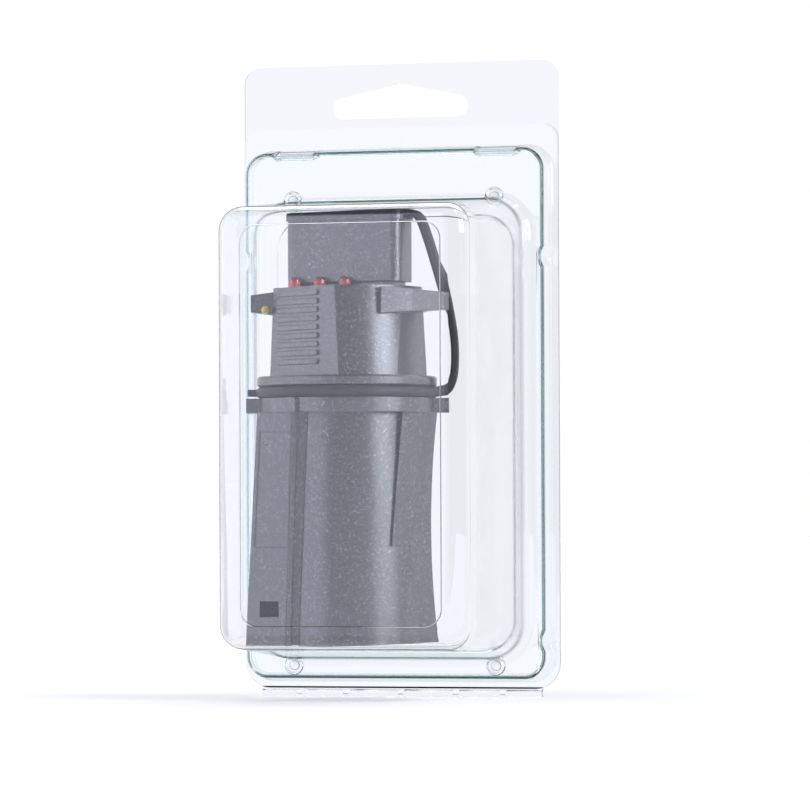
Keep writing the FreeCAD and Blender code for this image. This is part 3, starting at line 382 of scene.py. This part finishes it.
FRONT_RIM = (48.5, -12.8, -178.0, 5.0, 7.5)
FLANGE_BACK = 0.7
FLANGE_FRONT = 1.2
RIDGE = (47.0, -19.2, -176.05, 7.5, 7.5)
RIDGE_CREST = 8.0
RIDGE_LEAN = 1.25
BLISTER = (41.6, -34.7, -169.6, 11.0, 11.0)
BLISTER_CREST = 58.0
BLISTER_LEAN = 4.3
BLISTER_EDGE = 5.2
PANEL = (30.1, -44.2, -159.0, 5.0, 5.0)
PANEL_STEP = 0.4
FRONT_STUD = (2.9, 1.5)
# darker colour of the clear sheet, painted on the tight fold round the ridge's crest as painted
# shade
FOLD_PAINTED_SHADE = (0.56, 0.66, 0.66, 1)
FRONT_INDEX = 1.5
# the ridge's crest lies outside this frame, within this reach
FOLD_HALF_WIDTH = 44.3
FOLD_TOP = -24.0
FOLD_FOOT = -173.2
FOLD_REACH = (6.9, 8.05)

mesh = bmesh.new()
inside = formed(FRONT_RIM, [(0.0, FLANGE_BACK), (0.12, FLANGE_BACK), (0.9, FLANGE_BACK)])
inside += formed(RIDGE, bent([(-0.2, FLANGE_BACK), (SHEET, FLANGE_BACK),
                              (RIDGE_LEAN + SHEET, RIDGE_CREST - SHEET),
                              (3.0, RIDGE_CREST - SHEET)], [0.3, 0.5]), RIDGE_LEAN + SHEET)
inside += formed(BLISTER, bent([(-2.2, RIDGE_CREST - SHEET), (0.54, RIDGE_CREST - SHEET),
                                (BLISTER_LEAN + SHEET, BLISTER_CREST - SHEET),
                                (9.3, BLISTER_CREST - SHEET)], [2.6, 4.6])[:-1])
inside += formed(PANEL, bent([(-0.3, BLISTER_CREST - SHEET), (-0.15, BLISTER_CREST - SHEET),
                              (0.05, BLISTER_CREST - SHEET - PANEL_STEP),
                              (0.9, BLISTER_CREST - SHEET - PANEL_STEP)], [0.1, 0.1]))
outside = formed(FRONT_RIM, [(0.0, FLANGE_FRONT - 0.12), (0.04, FLANGE_FRONT - 0.04),
                             (0.12, FLANGE_FRONT), (0.8, FLANGE_FRONT)])
outside += formed(RIDGE, bent([(-0.55, FLANGE_FRONT), (0.09, FLANGE_FRONT),
                               (RIDGE_LEAN, RIDGE_CREST), (2.75, RIDGE_CREST)],
                              [0.35, 1.0]), RIDGE_LEAN)
outside += formed(BLISTER, bent([(-2.35, RIDGE_CREST), (0.04, RIDGE_CREST),
                                 (BLISTER_LEAN, BLISTER_CREST), (9.6, BLISTER_CREST)],
                                [2.2, BLISTER_EDGE])[:-2])
outside += formed(PANEL, bent([(-0.3, BLISTER_CREST), (-0.12, BLISTER_CREST),
                               (0.12, BLISTER_CREST - PANEL_STEP),
                               (0.9, BLISTER_CREST - PANEL_STEP)], [0.12, 0.12]))
rows = add_skin(mesh, list(reversed(inside)) + outside)
mesh.faces.new(rows[0])
mesh.faces.new(rows[-1])
add_studs(mesh, *FRONT_STUD, RIDGE_CREST)

# the trough that hangs from the foot of the flange, with five gussets, shown as reach and height
HINGE_HALF_WIDTH = 43.15
HINGE_LINE = ((1.2, -177.5), (1.2, -178.2), (2.1, -179.0), (2.1, -179.5), (1.4, -180.3),
              (0.7, -180.3), (0.7, -180.05), (1.6, -179.5), (1.6, -179.0), (0.7, -178.5),
              (0.7, -177.5))
GUSSETS = (-31.3, -16.9, 0.0, 16.9, 31.3)
GUSSET_HALF = 1.0
GUSSET_RISE = 0.7
GUSSET_EASE = 0.25


def gusset_share(x):
    away = min(abs(x - middle) for middle in GUSSETS)
    return max(0.0, min(1.0, (GUSSET_HALF + GUSSET_EASE - away) / (2 * GUSSET_EASE)))


stations = sorted({-HINGE_HALF_WIDTH, HINGE_HALF_WIDTH}
                  | {middle + side * (GUSSET_HALF + step) for middle in GUSSETS
                     for side in (-1, 1) for step in (-GUSSET_EASE, 0.0, GUSSET_EASE)})
rows = []
for x in stations:
    rise = GUSSET_RISE * gusset_share(x)
    rows.append(add_turn(mesh, [
        Vector((x * MM, -(reach + (rise if i in (2, 3) else 0)) * MM, z * MM))
        for i, (reach, z) in enumerate(HINGE_LINE)]))
for first, second in zip(rows, rows[1:]):
    join_turns(mesh, first, second)
mesh.faces.new(rows[0])
mesh.faces.new(rows[-1])
front_sheet = clear_sheet_material("clear_front_sheet", FRONT_INDEX, SHEET_CLEAR)
# the fold round the ridge's crest wears this darker copy of the sheet, as painted shade
fold_shaded_sheet = clear_sheet_material("clear_ridge_fold_painted_shade", FRONT_INDEX, FOLD_PAINTED_SHADE)


def on_ridge_fold(place, facing):
    """The tight fold round the ridge's crest, which wears a darker copy of the clear sheet as
    painted shade.
    """
    outer = abs(place.x) > FOLD_HALF_WIDTH or place.z > FOLD_TOP or place.z < FOLD_FOOT
    return outer and FOLD_REACH[0] < -place.y < FOLD_REACH[1] and abs(facing.y) < 0.97


front_half = finish_piece(mesh, "front_half", front_sheet, "front", fold_shaded_sheet, on_ridge_fold)
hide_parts("front_shell")

# Grey housings of the adaptor: two injection-moulded shells and the connector block on top.
# The plastic is charcoal ABS with a fine spark-eroded grain and a faint metallic fleck.

HOUSING_GREY = (0.006, 0.006, 0.007, 1)
HOUSING_FLECK = (0.17, 0.175, 0.19, 1)
HOUSING_SHEEN = (1.0, 0.96, 0.95, 1)
HOUSING_ROUGHNESS = 0.29
HOUSING_EDGE = 0.0004
FLECK_CHOICE = (0.72, 0.88)
# black colour and a damped sheen painted inside the square pocket on the left cheek, as painted
# shade
POCKET_PAINTED_SHADE = (0.001, 0.001, 0.001, 1)
POCKET_SHADE_SHEEN = (0.04, 0.04, 0.04, 1)
POCKET_SHADE_HALF = (0.0027, 0.0055, 0.0022)
ADAPTOR_AXIS = (-6.9, -29.8, -164.7)
ADAPTOR_TURN = 18.0


def stood(x, y, z, turn=0.0):
    """A place on the adaptor's own axis, in millimetres, as a place in the pack."""
    angle = math.radians(ADAPTOR_TURN + turn)
    x0, y0, z0 = ADAPTOR_AXIS
    return Vector((x0 + x * math.cos(angle) - y * math.sin(angle),
                   y0 + x * math.sin(angle) + y * math.cos(angle), z0 + z)) * MM


# the small square pocket at the foot of the left cheek, whose inside is painted black as painted
# shade
POCKET_MIDDLE = stood(-22.4, -16.0, 10.6)


def dress(nodes, material):
    for node in nodes:
        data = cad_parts[node].data
        data.materials.clear()
        data.materials.append(material)


def grain(tree, size, strength, depth, edge):
    """Moulded grain of this size on faces whose sharp edges are slightly rounded."""
    place = add_node(tree, "TexCoord")
    pits = add_node(tree, "TexNoise", Scale=1.0 / size, Detail=2.0,
                    Vector=place.outputs["Object"])
    worn = add_node(tree, "Bevel", Radius=edge)
    worn.samples = 4
    relief = add_node(tree, "Bump", Strength=strength, Distance=depth,
                      Height=pits.outputs["Fac"], Normal=worn.outputs[0])
    return place, relief


def housing_material():
    material, tree = new_material("grey_housing")
    place, relief = grain(tree, size=0.00035, strength=0.03, depth=0.00002, edge=HOUSING_EDGE)
    flakes = add_node(tree, "TexVoronoi", Scale=2600.0, Vector=place.outputs["Object"])
    chosen = ramp(tree, flakes.outputs["Color"], *FLECK_CHOICE, 0.0, 1.0)
    colour = blend_colours(tree, chosen, HOUSING_GREY, HOUSING_FLECK)
    # Inside a small box round the square pocket the colour is painted black and the sheen damped:
    # painted shade in the pocket.
    turned = add_node(tree, "Mapping", Vector=place.outputs["Object"])
    turned.vector_type = "TEXTURE"
    turned.inputs["Location"].default_value = POCKET_MIDDLE
    turned.inputs["Rotation"].default_value = (0, 0, math.radians(ADAPTOR_TURN))
    pocket_place = add_node(tree, "SeparateXYZ", Vector=turned.outputs[0])
    inside = None
    for side, half in zip("XYZ", POCKET_SHADE_HALF):
        away = add_node(tree, "Math", Value=pocket_place.outputs[side])
        away.operation = "ABSOLUTE"
        near = ramp(tree, away.outputs[0], half, half + 0.0001, 1.0, 0.0)
        inside = near if inside is None else combine(tree, "MULTIPLY", inside, near)
    sheen_and_pocket_shade = blend_colours(tree, inside, HOUSING_SHEEN, POCKET_SHADE_SHEEN)
    colour = blend_colours(tree, inside, colour, POCKET_PAINTED_SHADE)
    patches = add_node(tree, "TexNoise", Scale=90.0, Detail=3.0, Vector=place.outputs["Object"])
    gloss = ramp(tree, patches.outputs["Fac"], 0.0, 1.0,
                 HOUSING_ROUGHNESS - 0.04, HOUSING_ROUGHNESS + 0.05)
    shader = add_node(tree, "BsdfPrincipled", Base_Color=colour, Roughness=gloss,
                      IOR=1.72, Specular_IOR_Level=1.0, Specular_Tint=sheen_and_pocket_shade,
                      Normal=relief.outputs[0])
    put_on(tree, shader)
    return material


dress(("lower_housing", "upper_housing", "connector_block"), housing_material())

# Dust cap: one moulding of black rubber. The cap covers the connector block, its ring sits in
# the adaptor's neck so that it can't be lost, and the strap at the right joins the two.

RUBBER_BLACK = (0.010, 0.010, 0.012, 1)
RUBBER_DUST = (0.020, 0.020, 0.023, 1)


def rubber_material():
    material, tree = new_material("black_rubber")
    place, relief = grain(tree, size=0.0009, strength=0.2, depth=0.00005, edge=0.0006)
    dust = add_node(tree, "TexNoise", Scale=300.0, Detail=4.0, Vector=place.outputs["Object"])
    colour = blend_colours(tree, dust.outputs["Fac"], RUBBER_BLACK, RUBBER_DUST)
    shader = add_node(tree, "BsdfPrincipled", Base_Color=colour, Roughness=0.5,
                      Normal=relief.outputs[0])
    put_on(tree, shader)
    return material


black_rubber = rubber_material()

# the cap stands on the connector block, which is turned nearly square to the pack
BLOCK_TURN = -20.0
# half width, back, front and corner radius
CAP = (18.0, 9.5, -4.5, 3.1)
CAP_FOOT = 124.4
CAP_LEFT_RISE = 1.4
CAP_RIGHT_RISE = 2.6
RING_RADIUS = 24.9
RING_HALF = 1.6
RING_HEIGHT = 72.85
RING_TAB = ((-28.8, -25.4), (-2.0, 2.0), (-1.0, 1.0))
STRAP_HALF_THICKNESS = 1.5
STRAP_HALF_WIDTH = 2.5
STRAP_FORWARD = -2.0
# reach to the right and height of the strap's middle line
STRAP_LINE = ((14.0, 125.6), (18.0, 125.8), (21.0, 123.8), (23.2, 118.5), (25.8, 110.0),
              (28.7, 99.5), (30.8, 90.0), (31.3, 83.0), (30.7, 77.5), (28.6, 73.9),
              (24.9, 72.9))


def cap_turn(inset, rise, round_off):
    """One turn round the wedge-shaped cap. The rise is 0 at its foot and 1 at its top."""
    side, back, front, corner = CAP
    places = []
    for cx, cy, start in ((side - corner, back - corner, 0),
                          (corner - side, back - corner, 90),
                          (corner - side, front + corner, 180),
                          (side - corner, front + corner, 270)):
        for i in range(9):
            a = math.radians(start + 90 * i / 8)
            places.append((cx + (corner - inset) * math.cos(a),
                           cy + (corner - inset) * math.sin(a)))
    slope = (CAP_RIGHT_RISE - CAP_LEFT_RISE) / (2 * side)
    return [stood(x, y, CAP_FOOT + rise * (CAP_LEFT_RISE + slope * (x + side)) - round_off,
                  BLOCK_TURN) for x, y in places]


def smooth_line(points, steps):
    """Points along a curve that passes through all of these."""
    points = [Vector(point) for point in points]
    points = [2 * points[0] - points[1], *points, 2 * points[-1] - points[-2]]
    line = []
    for a, b, c, d in zip(points, points[1:], points[2:], points[3:]):
        for i in range(steps):
            t = i / steps
            line.append(0.5 * (2 * b + (c - a) * t + (2 * a - 5 * b + 4 * c - d) * t * t
                               + (3 * b - a - 3 * c + d) * t ** 3))
    return line + [points[-2]]


mesh = bmesh.new()
rows = [add_turn(mesh, cap_turn(*step)) for step in (
    (0.0, 0.0, 0.0), (0.0, 1.0, 0.55), (0.05, 1.0, 0.32), (0.16, 1.0, 0.16), (0.32, 1.0, 0.05),
    (0.55, 1.0, 0.0), (1.2, 1.0, 0.0))]
for first, second in zip(rows, rows[1:]):
    join_turns(mesh, first, second)
mesh.faces.new(rows[0])
mesh.faces.new(rows[-1])

rows = []
for i in range(16):
    a = math.tau * i / 16
    radius, height = RING_RADIUS + RING_HALF * math.cos(a), RING_HEIGHT + RING_HALF * math.sin(a)
    rows.append(add_turn(mesh, [stood(radius * math.cos(b), radius * math.sin(b), height)
                                for b in (math.tau * j / 120 for j in range(120))]))
for i in range(16):
    join_turns(mesh, rows[i - 1], rows[i])

corners = [mesh.verts.new(stood(x, y, RING_HEIGHT + z)) for x in RING_TAB[0]
           for y in RING_TAB[1] for z in RING_TAB[2]]
tab = [mesh.faces.new([corners[i] for i in side]) for side in (
    (0, 1, 3, 2), (4, 6, 7, 5), (0, 4, 5, 1), (2, 3, 7, 6), (0, 2, 6, 4), (1, 5, 7, 3))]
tab_edges = list({edge for face in tab for edge in face.edges})
bmesh.ops.bevel(mesh, geom=tab_edges, offset=0.0005, segments=3, affect="EDGES", profile=0.6)

line = smooth_line(STRAP_LINE, 8)
rows = []
for i, spot in enumerate(line):
    along = (line[min(i + 1, len(line) - 1)] - line[max(i - 1, 0)]).normalized()
    out = Vector((along.y, -along.x))
    turn = []
    for j in range(28):
        a = math.tau * j / 28
        lift = STRAP_HALF_THICKNESS * math.copysign(abs(math.cos(a)) ** 0.5, math.cos(a))
        wide = STRAP_HALF_WIDTH * math.copysign(abs(math.sin(a)) ** 0.5, math.sin(a))
        here = spot + out * lift
        turn.append(stood(here.x, STRAP_FORWARD + wide, here.y))
    rows.append(add_turn(mesh, turn))
for first, second in zip(rows, rows[1:]):
    join_turns(mesh, first, second)
mesh.faces.new(rows[0])
mesh.faces.new(rows[-1])
rubber_cap = finish_piece(mesh, "rubber_cap", black_rubber, "front")
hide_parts("dust_cap")

# Indicator lamps: three red lenses at the top of the upper housing and a yellow one on its left
# lug. They are small domes of tinted clear plastic, set in holes in the housing. Their colour is
# painted paler at the foot and deeper towards the top, as painted light and painted shade.

RED_TOP_PAINTED_SHADE = (0.16, 0.004, 0.006, 1)
RED_FOOT_LIT = (0.85, 0.10, 0.07, 1)
YELLOW_TOP_PAINTED_SHADE = (0.85, 0.62, 0.02, 1)
YELLOW_FOOT_LIT = (0.95, 0.80, 0.10, 1)
# heights in metres between which the painted light at the foot turns to the painted shade at the
# top
RED_RISE = (-0.0615, -0.0583)
YELLOW_RISE = (-0.072, -0.069)


def lens_material(name, deep, pale, heights):
    material, tree = new_material(name)
    place = add_node(tree, "TexCoord")
    parts = add_node(tree, "SeparateXYZ", Vector=place.outputs["Object"])
    # pale at the foot and deep at the top: painted light and painted shade, by height
    colour = blend_colours(tree, ramp(tree, parts.outputs["Z"], *heights, 0.0, 1.0), pale, deep)
    ripple = add_node(tree, "TexNoise", Scale=900.0, Detail=1.0, Vector=place.outputs["Object"])
    relief = add_node(tree, "Bump", Strength=0.3, Distance=0.0002, Height=ripple.outputs["Fac"])
    shader = add_node(tree, "BsdfPrincipled", Base_Color=colour, Roughness=0.08, IOR=1.5,
                      Coat_Weight=1.0, Transmission_Weight=0.35, Normal=relief.outputs[0])
    put_on(tree, shader)
    return material


dress(("red_lamp_1", "red_lamp_2", "red_lamp_3"),
      lens_material("red_lens", RED_TOP_PAINTED_SHADE, RED_FOOT_LIT, RED_RISE))
dress(("yellow_lamp",), lens_material("yellow_lens", YELLOW_TOP_PAINTED_SHADE, YELLOW_FOOT_LIT, YELLOW_RISE))

# Studio: a pale floor in a white room, a large soft card at the left that the flat front of
# the blister mirrors, softboxes at the right and behind, a small one overhead, and the camera.

floor_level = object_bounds()[0].z - 0.0002
FLOOR_GREY = (0.6, 0.6, 0.6, 1)
BACKDROP_SEEN_THROUGH = (0.90, 0.92, 0.945, 1)
LEFT_COLOUR = (0.93, 0.99, 1.22)
LEFT_BRIGHTNESS = 1.15
LEFT_AZIMUTH = -57
LEFT_TURN = math.radians(LEFT_AZIMUTH)
LEFT_DISTANCE = 1.46
LEFT_WIDTH = 2.73
LEFT_HEIGHT = 1.95
# the floor is less clear near the pack's foot, between these distances from it, which paints shade
# round the foot on top of its real shadow
FOOT_SHADE_FADE = (0.03, 0.30)
FOOT_SHADE_CLEARNESS = 0.42
FRONT_LEVEL = 0.26


def add_card(name, azimuth, elevation, distance, width, height, brightness, colour=(1, 1, 1)):
    """A soft light that faces the pack. Azimuth 0 is straight in front, right is positive."""
    light = bpy.data.lights.new(name, "AREA")
    light.shape = "RECTANGLE"
    light.size = width
    light.size_y = height
    light.energy = brightness * math.pi * width * height
    light.color = colour
    card = bpy.data.objects.new(name, light)
    bpy.context.scene.collection.objects.link(card)
    turn, lift = math.radians(azimuth), math.radians(elevation)
    middle = Vector((0, -0.03, -0.09))
    outward = Vector((math.sin(turn) * math.cos(lift), -math.cos(turn) * math.cos(lift),
                      math.sin(lift)))
    card.location = middle + outward * distance
    card.rotation_euler = outward.to_track_quat("Z", "Y").to_euler()
    return card


bpy.ops.mesh.primitive_plane_add(size=60, location=(0, 0, floor_level))
floor = bpy.context.object
floor.name = "floor"
material, tree = new_material("white_floor")
path = add_node(tree, "LightPath")
place = add_node(tree, "TexCoord")
lit = add_node(tree, "BsdfDiffuse", Color=FLOOR_GREY)
parts = add_node(tree, "SeparateXYZ", Vector=place.outputs["Object"])
# In reflections and through the glass the floor behind the pack shows the backdrop's white. The
# floor ahead of it glows as bright as the left card out to the card, and dimly beyond; that glow is
# painted light and is not lit by the card.
in_front = ramp(tree, parts.outputs["Y"], -0.07, -0.12, 0.0, 1.0)
painted_card_glow = add_node(tree, "Emission", Strength=1.0, Color=(
    *[share * LEFT_BRIGHTNESS + FRONT_LEVEL for share in LEFT_COLOUR], 1))
as_front = add_node(tree, "Emission", Color=(1, 1, 1, 1), Strength=FRONT_LEVEL)
as_backdrop = add_node(tree, "Emission", Color=BACKDROP_SEEN_THROUGH, Strength=1.0)
left = add_node(tree, "VectorMath", Vector=place.outputs["Object"])
left.operation = "DOT_PRODUCT"
left.inputs[1].default_value = (math.sin(LEFT_TURN), -math.cos(LEFT_TURN), 0)
past_card = ramp(tree, left.outputs["Value"], LEFT_DISTANCE + 0.01, LEFT_DISTANCE + 0.03, 0.0, 1.0)
backdrop_and_painted_glow = mix_shaders(tree, in_front, as_backdrop,
                       mix_shaders(tree, past_card, painted_card_glow, as_front))
# in a direct view the white of the studio shows through the floor, whose own grey adds the
# pack's shadow, so the front half is still seen when it swings down below the floor. Less white
# shows through near the foot, which deepens that shadow as painted shade.
away = add_node(tree, "VectorMath", Vector=place.outputs["Object"])
away.operation = "LENGTH"
clearness_and_foot_shade = ramp(tree, away.outputs["Value"], *FOOT_SHADE_FADE, FOOT_SHADE_CLEARNESS, 1.0)
clear = add_node(tree, "BsdfTransparent", Color=clearness_and_foot_shade)
direct = add_node(tree, "AddShader")
tree.links.new(lit.outputs[0], direct.inputs[0])
tree.links.new(clear.outputs[0], direct.inputs[1])
passing = combine(tree, "MAXIMUM", path.outputs["Is Camera Ray"], path.outputs["Is Shadow Ray"])
by_glass = combine(tree, "MAXIMUM", path.outputs["Is Glossy Ray"],
                   path.outputs["Is Transmission Ray"])
put_on(tree, mix_shaders(tree, by_glass, mix_shaders(tree, passing, lit, direct), backdrop_and_painted_glow))
floor.data.materials.append(material)

world = bpy.data.worlds.new("studio")
bpy.context.scene.world = world
world.use_nodes = True
tree = world.node_tree
tree.nodes.clear()
place = add_node(tree, "TexCoord")
parts = add_node(tree, "SeparateXYZ", Vector=place.outputs["Generated"])
behind = ramp(tree, parts.outputs["Y"], 0.15, 0.4, 0.0, 1.0)
height = add_node(tree, "Math", Value=parts.outputs["Z"])
height.operation = "ABSOLUTE"
front_level = ramp(tree, height.outputs[0], 0.1, 0.3, FRONT_LEVEL, 0.08)
path = add_node(tree, "LightPath")
room = add_node(tree, "Background", Color=(1, 1, 1, 1), Strength=0.14)
white = add_node(tree, "Background", Color=(1, 1, 1, 1), Strength=1.0)
front = add_node(tree, "Background", Color=(1, 1, 1, 1), Strength=front_level)
backdrop = add_node(tree, "Background", Color=BACKDROP_SEEN_THROUGH, Strength=1.0)
by_glass = mix_shaders(tree, behind, front, backdrop)
sky = mix_shaders(tree, path.outputs["Is Glossy Ray"], room, by_glass)
sky = mix_shaders(tree, path.outputs["Is Transmission Ray"], sky, by_glass)
sky = mix_shaders(tree, path.outputs["Is Camera Ray"], sky, white)
out = add_node(tree, "OutputWorld")
tree.links.new(sky.outputs[0], out.inputs["Surface"])

# the left card reaches from the floor to 50 degrees up, from square left nearly to the front
left_card = add_card("left_card", LEFT_AZIMUTH, 0, LEFT_DISTANCE, LEFT_WIDTH, LEFT_HEIGHT,
                     LEFT_BRIGHTNESS, LEFT_COLOUR)
left_card.location.z = floor_level + LEFT_HEIGHT / 2
left_card.rotation_euler = (math.radians(90), 0, LEFT_TURN)
add_card("right_card", 75, 18.5, 1.6, 0.95, 0.76, 6.4, (0.92, 1.0, 1.15))
add_card("back_card", 180, 55, 1.6, 1.4, 0.8, 2.5)
add_card("top_card", 90, 63, 1.3, 0.16, 0.16, 12.0)

CAMERA_PLACE = (0.50616, -1.56248, -0.13152)
CAMERA_AHEAD = (-0.307543, 0.951228, 0.024126)
CAMERA_RIGHT = (0.951470, 0.307718, -0.003807)
CAMERA_UP = (0.011046, -0.021785, 0.999702)
FOCAL_PIXELS = 5586.7
PHOTO_WIDTH = 810

lens = bpy.data.cameras.new("camera")
lens.sensor_fit = "HORIZONTAL"
lens.sensor_width = 36
lens.lens = lens.sensor_width * FOCAL_PIXELS / PHOTO_WIDTH
lens.clip_end = 100
camera = bpy.data.objects.new("camera", lens)
bpy.context.scene.collection.objects.link(camera)
axes = Matrix((CAMERA_RIGHT, CAMERA_UP, [-x for x in CAMERA_AHEAD])).transposed()
camera.matrix_world = Matrix.Translation(CAMERA_PLACE) @ axes.to_4x4()
bpy.context.scene.camera = camera

bpy.context.scene.view_settings.view_transform = "Standard"
bpy.context.scene.cycles.transparent_max_bounces = 48
bpy.context.scene.cycles.max_bounces = 40
bpy.context.scene.cycles.transmission_bounces = 40
bpy.context.scene.cycles.glossy_bounces = 8
